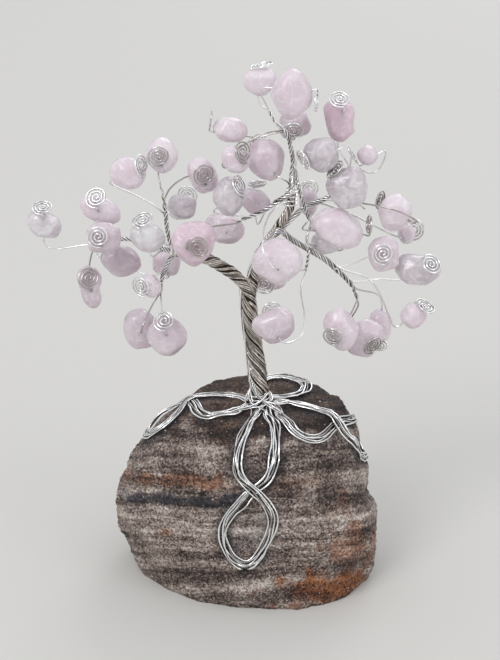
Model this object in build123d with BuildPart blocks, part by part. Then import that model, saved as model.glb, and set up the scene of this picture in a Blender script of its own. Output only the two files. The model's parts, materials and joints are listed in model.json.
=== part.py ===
from build123d import *
import math
import os
from collections import namedtuple
from functools import lru_cache

# Gemstone tree ornament: twisted wire trunk and branches carrying drilled stone chips, rooted
# over a rough rock. The origin is the middle of the rock's flat underside, +Z is up, the front
# is towards -Y and the picture's right is +X.

# Overall sizes, in millimetres
tree_height = 144
crown_width = 113
crown_depth = 44
rock_width = 71
rock_depth = 54
rock_height = 48
chip_size = 10

# The wire and how it is twisted and wound
wire = 0.45
strand_gap = 0.05
trunk_strands = 24
left_limb_strands = 14
right_limb_strands = trunk_strands - left_limb_strands
trunk_lay = 19
trunk_steps = 26
limb_lay = 33
branch_lay = 30
points_a_turn = 8
ease_length = 4
fork_length = 7
closing_length = 4
closing_delay = 1.2
arc_share = 0.45
bend_share = 0.38
bend_steps = 5
detour_steps = 4
least_bend = 0.006
nearest_steps = 60
nearest_steps_a_radian = 50

# The spiral that ends each wire and holds its chip
spiral_radius = 2.7
spiral_pitch = 0.86
spiral_half_turns = 6
spiral_bend = 0.5
chip_gap = 0.3
hole_clearance = 0.08
lead_in = 1.0
swell = 1.05

# The roots: flat ribbons of wires laid over the rock
root_wires = 5
root_wire_gap = 0.06
root_lift = 0.6
root_step = 1.6
crossing_rise = 0.68
crossing_reach = 4.2
collar_turns = 3
collar_pitch = 0.95
collar_gap = 0.25
collar_radius = 3.7
collar_height = 1.0

# Outlines of the chips: radii round the edge, as shares of the half width and half height
outline_shares = {
    "round": (1.00, 0.95, 1.04, 0.97, 1.00, 0.94, 1.03, 0.98),
    "heart": (1.05, 1.08, 0.84, 1.06, 1.00, 0.90, 0.98, 0.92),
    "bean": (1.00, 0.92, 0.90, 0.98, 1.06, 1.05, 0.98, 1.04),
    "capsule": (0.94, 1.10, 1.00, 1.12, 0.95, 1.02, 0.98, 0.99),
    "wedge": (1.06, 0.90, 1.00, 1.12, 0.95, 0.86, 0.96, 1.04),
    "blunt": (1.02, 1.12, 0.94, 1.05, 1.00, 1.10, 0.92, 1.06),
}
# How the outline swells and draws in from a chip's back to its front: level, size
level_shares = ((-0.50, 0.46), (-0.36, 0.80), (-0.06, 1.00), (0.24, 0.93), (0.50, 0.50))

# The rock: the heights of its levels, and radii every 22.5 degrees from +X towards the back
rock_shares = (
    (0.00, (0.93, 0.90, 0.91, 0.90, 0.89, 0.90, 0.89, 0.89, 0.88, 0.85, 0.84, 0.90, 0.97, 1.07, 1.10, 1.03)),
    (0.10, (1.03, 0.98, 0.94, 0.94, 0.90, 0.89, 0.94, 0.91, 0.92, 0.88, 0.86, 0.93, 1.00, 1.08, 1.11, 1.09)),
    (0.22, (1.04, 1.00, 0.96, 0.94, 0.98, 0.98, 0.99, 1.00, 1.00, 0.93, 0.92, 0.94, 1.01, 1.07, 1.13, 1.09)),
    (0.36, (1.04, 1.00, 0.92, 0.92, 0.96, 0.94, 1.00, 1.00, 1.02, 0.99, 0.96, 0.93, 0.96, 1.03, 1.10, 1.08)),
    (0.50, (0.95, 0.94, 0.91, 0.90, 0.95, 0.90, 0.95, 0.97, 0.99, 0.97, 0.89, 0.91, 0.93, 0.99, 1.01, 1.01)),
    (0.63, (0.97, 0.95, 0.91, 0.94, 0.89, 0.90, 0.93, 0.93, 0.91, 0.93, 0.85, 0.87, 0.92, 0.96, 0.98, 0.96)),
    (0.74, (0.88, 0.91, 0.89, 0.90, 0.87, 0.85, 0.86, 0.82, 0.84, 0.82, 0.76, 0.79, 0.85, 0.89, 0.93, 0.93)),
    (0.86, (0.88, 0.89, 0.87, 0.88, 0.86, 0.79, 0.74, 0.70, 0.70, 0.70, 0.69, 0.73, 0.76, 0.83, 0.88, 0.90)),
    (1.00, (0.75, 0.78, 0.78, 0.77, 0.75, 0.65, 0.52, 0.43, 0.40, 0.38, 0.39, 0.42, 0.46, 0.51, 0.60, 0.70)),
)
rock_heart_share = 0.55
skin_halvings = 26
skin_tilt = 0.04

# Places are shares of half the crown's width, half its depth and the tree's height
trunk_shares = (
    (0.08, 0, 0.334), (0.065, 0, 0.405), (0.045, 0, 0.466), (0.027, 0, 0.520), (0.02, 0, 0.556))
left_limb_shares = (
    (0.02, 0, 0.5563), (-0.025, 0, 0.588), (-0.09, 0, 0.608), (-0.16, 0, 0.623),
    (-0.25, 0, 0.636), (-0.33, 0, 0.642))
right_limb_shares = (
    (0.02, 0, 0.5563), (0.035, 0, 0.592), (0.05, 0, 0.620), (0.09, 0, 0.650),
    (0.14, 0, 0.678), (0.18, 0, 0.702), (0.21, 0, 0.725), (0.217, 0, 0.751))

# Hints for the middle of each root ribbon, out and back, with the number of its crossing hint
root_shares = {
    "front_root": ((
        (0.06, -0.15, 0.334), (0.045, -0.40, 0.334), (0.0, -0.66, 0.320), (-0.03, -0.85, 0.295),
        (-0.02, -0.99, 0.261), (0.04, -1.04, 0.237), (0.10, -1.08, 0.213), (0.13, -1.11, 0.187),
        (0.12, -1.13, 0.160), (0.08, -1.17, 0.125), (0.02, -1.20, 0.098), (-0.04, -1.17, 0.105),
        (-0.08, -1.12, 0.128), (-0.095, -1.09, 0.158), (-0.07, -1.08, 0.187), (-0.02, -1.06, 0.213),
        (0.04, -1.04, 0.237), (0.10, -1.0, 0.255), (0.13, -0.93, 0.280), (0.145, -0.81, 0.302),
        (0.14, -0.64, 0.320), (0.115, -0.40, 0.334), (0.102, -0.15, 0.334)), 5),
    "left_root": ((
        (0.022, 0.06, 0.334), (-0.03, 0.20, 0.334), (-0.10, 0.26, 0.334), (-0.18, 0.24, 0.334),
        (-0.26, 0.12, 0.331), (-0.34, -0.06, 0.313), (-0.41, -0.14, 0.288), (-0.46, -0.06, 0.272),
        (-0.47, 0.12, 0.270), (-0.45, 0.29, 0.278), (-0.40, 0.37, 0.292), (-0.33, 0.31, 0.312),
        (-0.26, 0.12, 0.331), (-0.22, -0.16, 0.330), (-0.17, -0.34, 0.330), (-0.11, -0.34, 0.333),
        (-0.04, -0.24, 0.334), (0.022, -0.06, 0.334)), 4),
    "right_root": ((
        (0.142, 0.06, 0.334), (0.20, 0.02, 0.334), (0.29, -0.09, 0.334), (0.37, -0.22, 0.333),
        (0.435, -0.36, 0.318), (0.495, -0.42, 0.293), (0.54, -0.34, 0.260), (0.57, -0.12, 0.232),
        (0.575, 0.12, 0.222), (0.57, 0.33, 0.238), (0.555, 0.36, 0.270), (0.53, 0.18, 0.292),
        (0.495, -0.08, 0.304), (0.435, -0.36, 0.318), (0.38, -0.57, 0.310), (0.30, -0.66, 0.311),
        (0.225, -0.60, 0.325), (0.175, -0.38, 0.334), (0.142, -0.07, 0.334)), 4),
    "back_root": ((
        (0.105, 0.15, 0.334), (0.165, 0.18, 0.334), (0.25, 0.24, 0.334), (0.297, 0.42, 0.334),
        (0.29, 0.64, 0.334), (0.23, 0.79, 0.334), (0.15, 0.82, 0.334), (0.09, 0.72, 0.334),
        (0.065, 0.48, 0.334), (0.058, 0.15, 0.334)), None),
}

# A chip: its middle, its size as shares of the chip size, its lean in the picture and its turn
# from facing the front, its outline, its hole's bearing and rise, the side its spiral lies to,
# how far along the branch its wire leaves, and a place that the wire goes by on its way
Chip = namedtuple("Chip", "middle size lean turn outline bearing rise swing leaves by", defaults=(None,))

branch_shares = {
    "crown_leader": (
        ((0.217, 0, 0.7535), (0.218, 0, 0.785), (0.221, 0, 0.810), (0.211, 0, 0.833),
         (0.195, 0, 0.857), (0.155, 0, 0.874), (0.122, 0, 0.892), (0.112, 0, 0.905)),
        (
            Chip((0.07, 0.02, 0.952), (0.85, 0.75, 0.66), 10, 0, "heart", 180, 78, 90, 0.97),
            Chip((0.21, -0.38, 0.944), (1.04, 1.24, 0.80), 0, 10, "round", -12, 0, 180, 0.95),
            Chip((0.23, 0.29, 0.864), (0.87, 0.72, 0.65), 10, -10, "blunt", -90, -25, 0, 0.20,
                 (0.25, 0.60, 0.828)),
            Chip((-0.06, 0.10, 0.864), (0.87, 0.69, 0.66), -5, 0, "bean", 180, 8, 0, 0.66),
            Chip((-0.04, -0.22, 0.821), (0.71, 0.71, 0.62), 0, -15, "wedge", -45, 20, 0, 0.70),
            Chip((0.10, 0.12, 0.808), (1.00, 1.16, 0.76), 15, 0, "round", 125, 20, 0, 0.12),
        )),
    "upper_right_branch": (
        ((0.25, 0.06, 0.712), (0.29, 0.10, 0.722), (0.38, 0.12, 0.735), (0.44, 0.14, 0.757),
         (0.475, 0.14, 0.780), (0.485, 0.14, 0.797)),
        (
            Chip((0.43, 0.05, 0.881), (0.81, 1.15, 0.74), 15, 0, "capsule", -80, 60, 0, 0.96),
            Chip((0.35, -0.24, 0.832), (0.91, 0.90, 0.74), 35, 0, "capsule", -150, -25, 0, 0.72),
            Chip((0.56, 0.12, 0.815), (0.56, 0.52, 0.50), 0, 0, "round", 180, -35, 0, 0.97,
                 (0.60, 0.10, 0.784)),
            Chip((0.47, -0.24, 0.770), (1.08, 1.07, 0.84), 30, 0, "capsule", -165, 42, 0, 0.58),
            Chip((0.69, -0.14, 0.722), (0.85, 1.08, 0.70), -20, 0, "bean", 150, 6, 0, 0.42,
                 (0.66, -0.42, 0.741)),
            Chip((0.76, 0.27, 0.660), (0.48, 0.58, 0.45), 0, 0, "round", 60, -20, 0, 0.34),
        )),
    "middle_right_branch": (
        ((0.238, -0.05, 0.784), (0.25, -0.075, 0.758), (0.28, -0.075, 0.725), (0.30, -0.04, 0.698),
         (0.31, -0.01, 0.684)),
        (
            Chip((0.43, -0.25, 0.698), (1.38, 1.06, 0.84), -20, 0, "bean", 10, -8, 0, 0.85),
            Chip((0.38, 0.22, 0.645), (0.82, 0.63, 0.60), 10, 0, "blunt", 40, -20, 0, 0.97),
            Chip((0.30, 0.34, 0.717), (0.52, 0.79, 0.55), 0, 0, "round", 100, 20, 0, 0.60),
        )),
    "inner_left_branch": (
        ((0.21, -0.10, 0.757), (0.172, -0.08, 0.744), (0.14, -0.045, 0.734), (0.12, -0.03, 0.727),
         (0.06, -0.02, 0.713), (0.0, 0, 0.702), (-0.05, 0, 0.690)),
        (
            Chip((-0.07, -0.14, 0.750), (0.82, 1.03, 0.70), 0, 0, "round", -30, 30, 0, 0.72),
            Chip((0.05, 0.32, 0.719), (0.78, 0.73, 0.62), 0, 0, "wedge", 100, 55, 0, 0.45),
            Chip((-0.09, 0.36, 0.668), (1.06, 0.90, 0.68), -10, 0, "bean", 100, -15, 0, 0.97),
            Chip((-0.23, -0.60, 0.688), (1.09, 1.26, 0.86), 5, 8, "heart", -90, 0, -90, 0.92),
            Chip((0.15, -0.48, 0.646), (1.32, 1.20, 0.84), 10, 0, "round", 90, -8, 0, 0.22,
                 (0.08, -0.74, 0.690)),
        )),
    "lower_right_branch": (
        ((0.175, -0.09, 0.682), (0.24, -0.05, 0.660), (0.31, 0, 0.641), (0.39, 0, 0.620),
         (0.44, 0, 0.601), (0.49, 0, 0.580), (0.53, 0, 0.540)),
        (
            Chip((0.64, -0.14, 0.642), (0.80, 0.99, 0.66), 15, 0, "blunt", -90, 0, 0, 0.52),
            Chip((0.81, 0.00, 0.604), (1.34, 0.81, 0.74), -5, 0, "capsule", -60, 48, 180, 0.80,
                 (0.62, 0.06, 0.583)),
            Chip((0.79, -0.09, 0.521), (0.71, 0.71, 0.64), 0, 0, "round", -30, 62, 180, 0.56,
                 (0.59, -0.12, 0.590)),
            Chip((0.45, -0.25, 0.502), (0.88, 1.30, 0.70), 10, 0, "wedge", -110, -18, 0, 0.95),
            Chip((0.57, 0.10, 0.464), (0.90, 1.16, 0.70), -15, 0, "blunt", -60, -20, 0, 0.97),
            Chip((0.66, 0.42, 0.469), (0.62, 0.97, 0.55), 10, 0, "capsule", 90, -75, 0, 0.86),
        )),
    "hanging_branch": (
        ((0.29, -0.075, 0.658), (0.295, -0.08, 0.640), (0.29, -0.06, 0.618), (0.28, -0.02, 0.597)),
        (
            Chip((0.12, 0.30, 0.578), (1.02, 0.80, 0.64), -10, 0, "bean", -90, -10, 90, 0.90),
            Chip((0.14, -0.38, 0.518), (1.19, 0.92, 0.70), 25, 0, "capsule", 108, 10, 0, 0.97,
                 (0.27, -0.62, 0.520)),
        )),
    "left_rising_branch": (
        ((-0.335, 0, 0.650), (-0.355, 0, 0.685), (-0.362, 0, 0.720), (-0.375, 0, 0.754),
         (-0.388, 0, 0.776)),
        (
            Chip((-0.19, 0.09, 0.778), (0.75, 1.03, 0.64), 5, 0, "wedge", -75, 0, 0, 0.76),
            Chip((-0.37, -0.04, 0.822), (0.84, 0.92, 0.66), 0, 0, "round", -90, -8, 0, 0.97),
            Chip((-0.52, -0.10, 0.793), (0.92, 0.87, 0.70), -10, 0, "bean", -30, 15, 0, 0.52),
            Chip((-0.29, 0.30, 0.710), (0.76, 0.71, 0.60), 0, 0, "blunt", 80, 8, 0, 0.55),
        )),
    "left_reaching_branch": (
        ((-0.345, 0, 0.640), (-0.42, 0, 0.653), (-0.50, 0, 0.662), (-0.57, 0, 0.664),
         (-0.65, 0, 0.659), (-0.71, 0, 0.648)),
        (
            Chip((-0.44, -0.26, 0.680), (0.88, 0.83, 0.64), 10, 0, "wedge", -120, 60, 0, 0.12),
            Chip((-0.66, 0.16, 0.712), (1.12, 0.72, 0.64), -25, 0, "bean", -100, 38, 0, 0.62),
            Chip((-0.64, -0.28, 0.681), (0.93, 0.84, 0.64), 0, 0, "blunt", -95, 0, 0, 0.80),
            Chip((-0.71, -0.20, 0.583), (0.58, 1.24, 0.56), 10, 0, "capsule", -80, 30, 0, 0.97),
            Chip((-0.92, 0.00, 0.690), (0.99, 0.68, 0.62), -25, 0, "capsule", -80, 68, 180, 0.96),
        )),
    "left_drooping_branch": (
        ((-0.335, 0, 0.630), (-0.36, 0, 0.612), (-0.38, 0, 0.590), (-0.39, 0, 0.568),
         (-0.40, 0, 0.548)),
        (
            Chip((-0.58, 0.20, 0.612), (1.11, 0.87, 0.68), -10, 0, "round", 178, 22, 0, 0.45),
            Chip((-0.37, 0.40, 0.596), (0.75, 0.78, 0.62), 0, 0, "blunt", 100, 10, 0, 0.55),
            Chip((-0.43, -0.24, 0.587), (0.58, 0.65, 0.52), 0, 0, "wedge", -120, -10, 0, 0.70),
            Chip((-0.49, 0.06, 0.486), (0.88, 1.28, 0.70), 10, 0, "bean", 95, -28, 0, 0.97),
            Chip((-0.36, -0.25, 0.490), (1.08, 1.08, 0.72), 0, 0, "round", -90, 48, 0, 0.97),
        )),
}


def place(shares):
    across, back, up = shares[:3]
    return Vector(across * crown_width / 2, back * crown_depth / 2, up * tree_height)


def aim(bearing, rise):
    level = math.cos(math.radians(rise))
    east, north = math.cos(math.radians(bearing)), math.sin(math.radians(bearing))
    return Vector(east * level, north * level, math.sin(math.radians(rise)))


def ease(share):
    share = min(max(share, 0), 1)
    return share * share * (3 - 2 * share)


def square_to(direction, wished):
    return (wished - direction * wished.dot(direction)).normalized()


# The wire's path: straight runs, each corner rounded by an arc that touches both of its runs
def rounded(points):
    pieces = []
    start = points[0]
    for before, corner, after in zip(points, points[1:], points[2:]):
        run_in, run_out = corner - before, after - corner
        if run_in.get_angle(run_out) < least_bend:
            continue
        half_turn = math.radians(run_in.get_angle(run_out)) / 2
        cut = arc_share * min(run_in.length, run_out.length)
        way_in, way_out = run_in.normalized(), run_out.normalized()
        inset = cut / math.tan(half_turn) * (1 / math.cos(half_turn) - 1)
        middle = corner + (way_out - way_in).normalized() * inset
        arc_start, arc_end = corner - way_in * cut, corner + way_out * cut
        pieces.append(Line(start, arc_start, mode=Mode.PRIVATE))
        pieces.append(ThreePointArc(arc_start, middle, arc_end, mode=Mode.PRIVATE))
        start = arc_end
    pieces.append(Line(start, points[-1], mode=Mode.PRIVATE))
    return pieces


def make_tube(pieces, radius=wire / 2):
    path = Wire(pieces)
    with BuildPart() as tube:
        with BuildSketch(Plane(origin=path @ 0, z_dir=path % 0)):
            Circle(radius)
        sweep(path=path)
    return tube.part.solid()


# Evenly stepped places along a smooth line, each with its direction and a side that doesn't twist
def stations(points, steps, first_side=None, first_direction=None):
    ends = (first_direction, (points[-1] - points[-2]).normalized()) if first_direction else ()
    with BuildLine() as guide:
        Spline(*points, tangents=ends)
    line = guide.edges()[0]
    side = first_side or Vector(1, 0, 0)
    found = []
    for share in steps(line.length):
        direction = line % share
        side = square_to(direction, side)
        found.append((share * line.length, line @ share, direction, side, direction.cross(side)))
    return found


# Ring radius at which this many strands, laid at this angle, clear each other by the strand gap
@lru_cache(maxsize=None)
def ring_radius(count, lay):
    if count < 2:
        return max(count - 1, 0) * ring_radius(2, lay)
    slope = math.tan(math.radians(lay)) ** 2
    turns_back = [step / nearest_steps_a_radian for step in range(nearest_steps)]
    nearest = min(
        2 * (1 - math.cos(2 * math.pi / count - back)) + back ** 2 / slope for back in turns_back)
    return (wire + strand_gap) / math.sqrt(nearest) / math.cos(math.pi / points_a_turn)


def on_ring(station, radius, angle):
    _, centre, _, side, across = station
    return centre + side * (radius * math.cos(angle)) + across * (radius * math.sin(angle))


# Chip: smooth outlines lofted from back to front
def chip_plane(chip):
    turn, lean = math.radians(chip.turn), math.radians(chip.lean)
    level = Vector(math.cos(turn), math.sin(turn), 0)
    front = Vector(math.sin(turn), -math.cos(turn), 0)
    across = level * math.cos(lean) + Vector(0, 0, math.sin(lean))
    return Plane(origin=place(chip.middle), x_dir=across, z_dir=front)


def chip_outline(chip, size):
    radii = outline_shares[chip.outline]
    half_width, half_height = (chip_size * share / 2 * size for share in chip.size[:2])
    angles = [2 * math.pi * index / len(radii) for index in range(len(radii))]
    return [
        (radius * half_width * math.cos(angle), radius * half_height * math.sin(angle))
        for radius, angle in zip(radii, angles)]


def chip_levels(chip):
    return [(level * chip_size * chip.size[2], size) for level, size in level_shares]


# How far the chip reaches from its middle along a direction
def chip_reach(chip, direction):
    plane = chip_plane(chip)
    corners = [
        plane.x_dir * x + plane.y_dir * y + plane.z_dir * level
        for level, size in chip_levels(chip) for x, y in chip_outline(chip, size)]
    return max(corner.dot(direction) for corner in corners) * swell


# The chip's hole: its axis, the side the spiral lies to and the way its outer turn sets out
def hole_of(chip):
    axis = aim(chip.bearing, chip.rise)
    upright = Vector(0, 0, 1) if abs(axis.Z) < 0.9 else Vector(0, -1, 0)
    first = square_to(axis, upright)
    swing = math.radians(chip.swing)
    side = first * math.cos(swing) + axis.cross(first) * math.sin(swing)
    return place(chip.middle) - side * (spiral_radius / 2), axis, side, axis.cross(side)


def make_chip(chip):
    plane = chip_plane(chip)
    with BuildPart() as stone:
        for level, size in chip_levels(chip):
            with BuildSketch(plane.offset(level)):
                with BuildLine():
                    Spline(*chip_outline(chip, size), periodic=True)
                make_face()
        loft()
        middle, axis, _, _ = hole_of(chip)
        with BuildSketch(Plane(origin=middle, z_dir=axis)):
            Circle(wire / 2 + hole_clearance)
        extrude(amount=2 * chip_size, both=True, mode=Mode.SUBTRACT)
    return stone


# Where the wire comes to the chip's hole, and where it goes in
def entry_of(chip):
    middle, axis, _, _ = hole_of(chip)
    face = middle - axis * (chip_reach(chip, -axis) + chip_gap)
    return face - axis * lead_in, face


# A bend that leaves one place along a direction and comes to another along a direction
def bend(start, direction, end, end_direction, count):
    reach = (end - start).length * bend_share
    corners = (start, start + direction * reach, end - end_direction * reach, end)
    points = []
    for index in range(1, count + 1):
        t = index / count
        weights = ((1 - t) ** 3, 3 * t * (1 - t) ** 2, 3 * t * t * (1 - t), t ** 3)
        points.append(sum((corner * weight for corner, weight in zip(corners, weights)), Vector()))
    return points


# From the branch to the chip, past the place it goes by, then straight through the hole
def way_to_chip(chip, start, direction):
    entry, face = entry_of(chip)
    axis = aim(chip.bearing, chip.rise)
    if not chip.by:
        return bend(start, direction, entry, axis, bend_steps) + [face]
    halfway = place(chip.by)
    along = (entry - start).normalized()
    first = bend(start, direction, halfway, along, detour_steps)
    return first + bend(halfway, along, entry, axis, detour_steps) + [face]


# The spiral: a bend out of the hole, then half turns that draw in, flat over the chip
def spiral(chip):
    middle, axis, side, ahead = hole_of(chip)
    height = chip_reach(chip, axis) + chip_gap + wire / 2
    corner = middle + axis * height
    start, point = corner - axis * spiral_bend, corner + ahead * spiral_bend
    slack = spiral_bend * (1 - math.sqrt(0.5))
    bend_middle = corner + (ahead - axis) * slack
    pieces = [ThreePointArc(start, bend_middle, point, mode=Mode.PRIVATE)]
    radius = spiral_radius
    for _ in range(spiral_half_turns):
        centre = point + side * radius
        end = centre + side * radius
        pieces.append(ThreePointArc(point, centre + ahead * radius, end, mode=Mode.PRIVATE))
        point, side, ahead, radius = end, -side, -ahead, radius - spiral_pitch / 2
    return start, pieces


# Least gap of a wound wire to itself, measured between points at least a half turn apart
def least_gap(pieces, apart):
    path = Wire(pieces)
    count = int(path.length / (wire / 2))
    points = [tuple(path @ (index / count)) for index in range(count + 1)]
    skip = int(apart / (path.length / count))
    return min(
        math.dist(points[near], points[far])
        for near in range(count) for far in range(near + skip, count + 1)) - wire


# A branch: its wires twist round each other, and each leaves towards its own chip
def branch_wires(line_shares, chips):
    line = [place(shares) for shares in line_shares]
    slant = math.radians(branch_lay)
    leaving = {}

    def present(number, along):
        return 1 - ease((along - leaving[number] - closing_delay) / closing_length)

    def radius_at(along):
        return ring_radius(round(sum(present(number, along) for number in leaving), 2), branch_lay)

    def steps(length):
        leaving.update((number, chip.leaves * length) for number, chip in enumerate(chips))
        along = 0
        while along < length:
            yield along / length
            widest = max(radius_at(along), ring_radius(2, branch_lay))
            along += widest * 2 * math.pi / points_a_turn / math.tan(slant)

    found = stations(line, steps)
    twist = 2 * math.pi / points_a_turn
    wanted = [
        min(range(len(found)), key=lambda index: abs(found[index][0] - leaving[number]))
        for number in range(len(chips))]

    # The strand's slot that faces its chip where it leaves, an eighth of a turn early
    def facing(number):
        index = wanted[number]
        towards = entry_of(chips[number])[0] - found[index][1]
        angle = math.atan2(towards.dot(found[index][4]), towards.dot(found[index][3]))
        return (angle - math.pi / 4 - index * twist) % (2 * math.pi)

    order = sorted(range(len(chips)), key=facing)
    first = facing(order[0])

    def angle_of(number, index):
        weights = [present(other, found[index][0]) for other in order]
        rank = order.index(number)
        slot = (sum(weights[:rank]) + weights[rank] / 2) / max(sum(weights), 1)
        return first + 2 * math.pi * slot + index * twist

    def direction_at(number, index):
        round_ring = on_ring(found[index], 1, angle_of(number, index) + math.pi / 2) - found[index][1]
        return found[index][2] * math.cos(slant) + round_ring * math.sin(slant)

    def point_at(number, index):
        return on_ring(found[index], radius_at(found[index][0]), angle_of(number, index))

    for number, chip in enumerate(chips):
        entry = entry_of(chip)[0]
        window = range(max(wanted[number] - 2, 2), min(wanted[number] + 3, len(found)))
        wanted[number] = max(window, key=lambda index: direction_at(number, index).dot(
            (entry - point_at(number, index)).normalized()))
    leaving.update((number, found[index][0]) for number, index in enumerate(wanted))

    tubes = []
    for number, chip in enumerate(chips):
        last = wanted[number]
        strand = [point_at(number, index) for index in range(last + 1)]
        start, turns = spiral(chip)
        way = strand + way_to_chip(chip, strand[-1], direction_at(number, last)) + [start]
        tubes.append((rounded(way), turns))
    return tubes


# A rope of one layer of strands: the angle and ring radius of each strand come from a rule
def rope_points(found, strands, rule):
    return [
        [on_ring(station, *rule(strand, station[0])) for station in found]
        for strand in range(strands)]


def make_core(found, radius, first):
    return make_tube(rounded([station[1] for station in found if station[0] >= first]), radius)


# The rock's outline at a height, between the corners of the levels below and above
def rock_corners(radii):
    corners = []
    for index, radius in enumerate(radii):
        angle = 2 * math.pi * index / len(radii)
        across, back = rock_width / 2 * math.cos(angle), rock_depth / 2 * math.sin(angle)
        corners.append((radius * across, radius * back))
    return corners


rock_levels = [(share * rock_height, rock_corners(radii)) for share, radii in rock_shares]


def in_rock(point):
    if not 0 <= point.Z <= rock_height:
        return False
    for (low, below), (high, above) in zip(rock_levels, rock_levels[1:]):
        if point.Z <= high:
            share = (point.Z - low) / (high - low)
            ring = [
                (a[0] + (b[0] - a[0]) * share, a[1] + (b[1] - a[1]) * share)
                for a, b in zip(below, above)]
            break
    inside = False
    for (x1, y1), (x2, y2) in zip(ring, ring[1:] + ring[:1]):
        if (y1 > point.Y) == (y2 > point.Y):
            continue
        if point.X < x1 + (point.Y - y1) / (y2 - y1) * (x2 - x1):
            inside = not inside
    return inside


rock_heart = Vector(0, 0, rock_heart_share * rock_height)


def skin(direction):
    near, far = 0, rock_width
    for _ in range(skin_halvings):
        middle = (near + far) / 2
        if in_rock(rock_heart + direction * middle):
            near = middle
        else:
            far = middle
    return rock_heart + direction * near


# A point over the rock, straight out from the skin under a hint
def over_rock(hint, lift):
    out = (hint - rock_heart).normalized()
    one = square_to(out, Vector(1, 1, 1))
    two = out.cross(one)

    def slope(side):
        ahead, behind = (out + side * skin_tilt).normalized(), (out - side * skin_tilt).normalized()
        return skin(ahead) - skin(behind)

    return skin(out) + slope(one).cross(slope(two)).normalized() * lift


os.makedirs("parts", exist_ok=True)


def keep(made, name):
    made.part.label = name
    export_step(made.part, f"parts/{name}.step")


# A bundle is kept as one node whose wires stay separate solids
def keep_bundle(wires, name):
    bundle = Compound(wires)
    bundle.label = name
    export_step(bundle, f"parts/{name}.step")


# Rock: ruled between rough outlines, flat underneath
with BuildPart() as rock:
    for level, corners in rock_levels:
        with BuildSketch(Plane.XY.offset(level)):
            with BuildLine():
                Polyline(*corners, close=True)
            make_face()
    loft(ruled=True)
keep(rock, "rock")

# Trunk: one layer of strands round a core, its twist dying out at the foot and at the fork
trunk_radius = ring_radius(trunk_strands, trunk_lay)
trunk_line = [place(shares) for shares in trunk_shares]


def even_steps(count):
    return lambda length: [index / count for index in range(count + 1)]


def steps_of(size):
    return lambda length: even_steps(round(length / size))(length)


trunk_found = stations(trunk_line, even_steps(trunk_steps), Vector(1, 0, 0), Vector(0, 0, 1))
trunk_length = trunk_found[-1][0]


def eased_turns(along, length, radius, lay):
    start = ease_length / 2 * ease(along / ease_length) * min(along / ease_length, 1)
    middle = min(max(along - ease_length, 0), length - 2 * ease_length)
    end_share = max(along - length + ease_length, 0) / ease_length
    end = ease_length * (end_share - end_share ** 2 / 2)
    return (start + middle + end) * math.tan(math.radians(lay)) / radius


trunk_arc = 2 * math.pi * trunk_radius / trunk_strands
top_turn = eased_turns(trunk_length, trunk_length, trunk_radius, trunk_lay)


def trunk_rule(strand, along):
    slot = 2 * math.pi * (strand + 0.5) / trunk_strands
    left_edge = math.pi * (1 - left_limb_strands / trunk_strands)
    twist = eased_turns(along, trunk_length, trunk_radius, trunk_lay)
    return trunk_radius, left_edge + slot - top_turn + twist


def inside_ring(radius):
    return radius * math.cos(math.pi / points_a_turn) - wire / 2 - strand_gap


trunk_wires = [
    make_tube(rounded(points)) for points in rope_points(trunk_found, trunk_strands, trunk_rule)]
trunk_wires.append(make_core(trunk_found, inside_ring(trunk_radius), 0))
keep_bundle(trunk_wires, "trunk")


# Limb: its share of the trunk's strands curls in from the trunk's ring to a ring of its own
def make_limb(name, line_shares, strands, middle_angle):
    line = [place(shares) for shares in line_shares]
    radius = ring_radius(strands, limb_lay)
    step = radius * 2 * math.pi / points_a_turn / math.tan(math.radians(limb_lay))
    found = stations(line, steps_of(step), trunk_found[-1][3], trunk_found[-1][2])
    length = found[-1][0]
    arc, tight = 2 * math.pi * radius / strands, wire + strand_gap

    def rule(strand, along):
        curl = ease(along / fork_length)
        ring = trunk_radius + (radius - trunk_radius) * curl
        pinch = math.sin(math.pi * min(along / fork_length, 1)) * (trunk_arc - tight)
        spacing = trunk_arc + (arc - trunk_arc) * curl - pinch
        twist = eased_turns(max(along - fork_length, 0), length - fork_length, radius, limb_lay)
        return ring, middle_angle + (strand - (strands - 1) / 2) * spacing / ring + twist

    wires = [make_tube(rounded(points)) for points in rope_points(found, strands, rule)]
    wires.append(make_core(found, inside_ring(radius), fork_length))
    keep_bundle(wires, name)


make_limb("left_limb", left_limb_shares, left_limb_strands, math.pi)
make_limb("right_limb", right_limb_shares, right_limb_strands, 0)


# Root: a flat ribbon of wires that leaves the trunk's foot, turns back and crosses over itself
def make_root(name, hint_shares, crossing):
    hints = [place(shares) for shares in hint_shares]
    found = stations(hints, steps_of(root_step))
    half_way = found[-1][0] / 2
    wires = []
    for number in range(root_wires):
        aside = (number - (root_wires - 1) / 2) * (wire + root_wire_gap)
        points = []
        for along, centre, direction, _, _ in found:
            lift = root_lift
            if crossing and along < half_way:
                over = 1 - ease((centre - hints[crossing]).length / crossing_reach)
                lift = root_lift + over * crossing_rise
            across = direction.cross(centre - rock_heart).normalized()
            points.append(over_rock(centre + across * aside, lift))
        wires.append(make_tube(rounded(points)))
    keep_bundle(wires, name)


for name, (hint_shares, crossing) in root_shares.items():
    make_root(name, hint_shares, crossing)

# Collar: one wire wound round the trunk's foot over the roots' ends, drawing in as it climbs
foot, foot_direction = trunk_found[0][1], trunk_found[0][2]
collar_points = []
for step in range(collar_turns * points_a_turn + 1):
    turn = step / points_a_turn
    radius = collar_radius - (collar_radius - trunk_radius - wire - collar_gap) * turn / collar_turns
    angle = 2 * math.pi * turn
    centre = foot + foot_direction * (collar_height + collar_pitch * turn)
    collar_points.append(centre + Vector(radius * math.cos(angle), radius * math.sin(angle), 0))
collar_pieces = rounded(collar_points)
keep_bundle([make_tube(collar_pieces)], "root_collar")
print("least gap of the collar to itself", round(least_gap(collar_pieces, math.pi * trunk_radius), 3), "mm")

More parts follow.
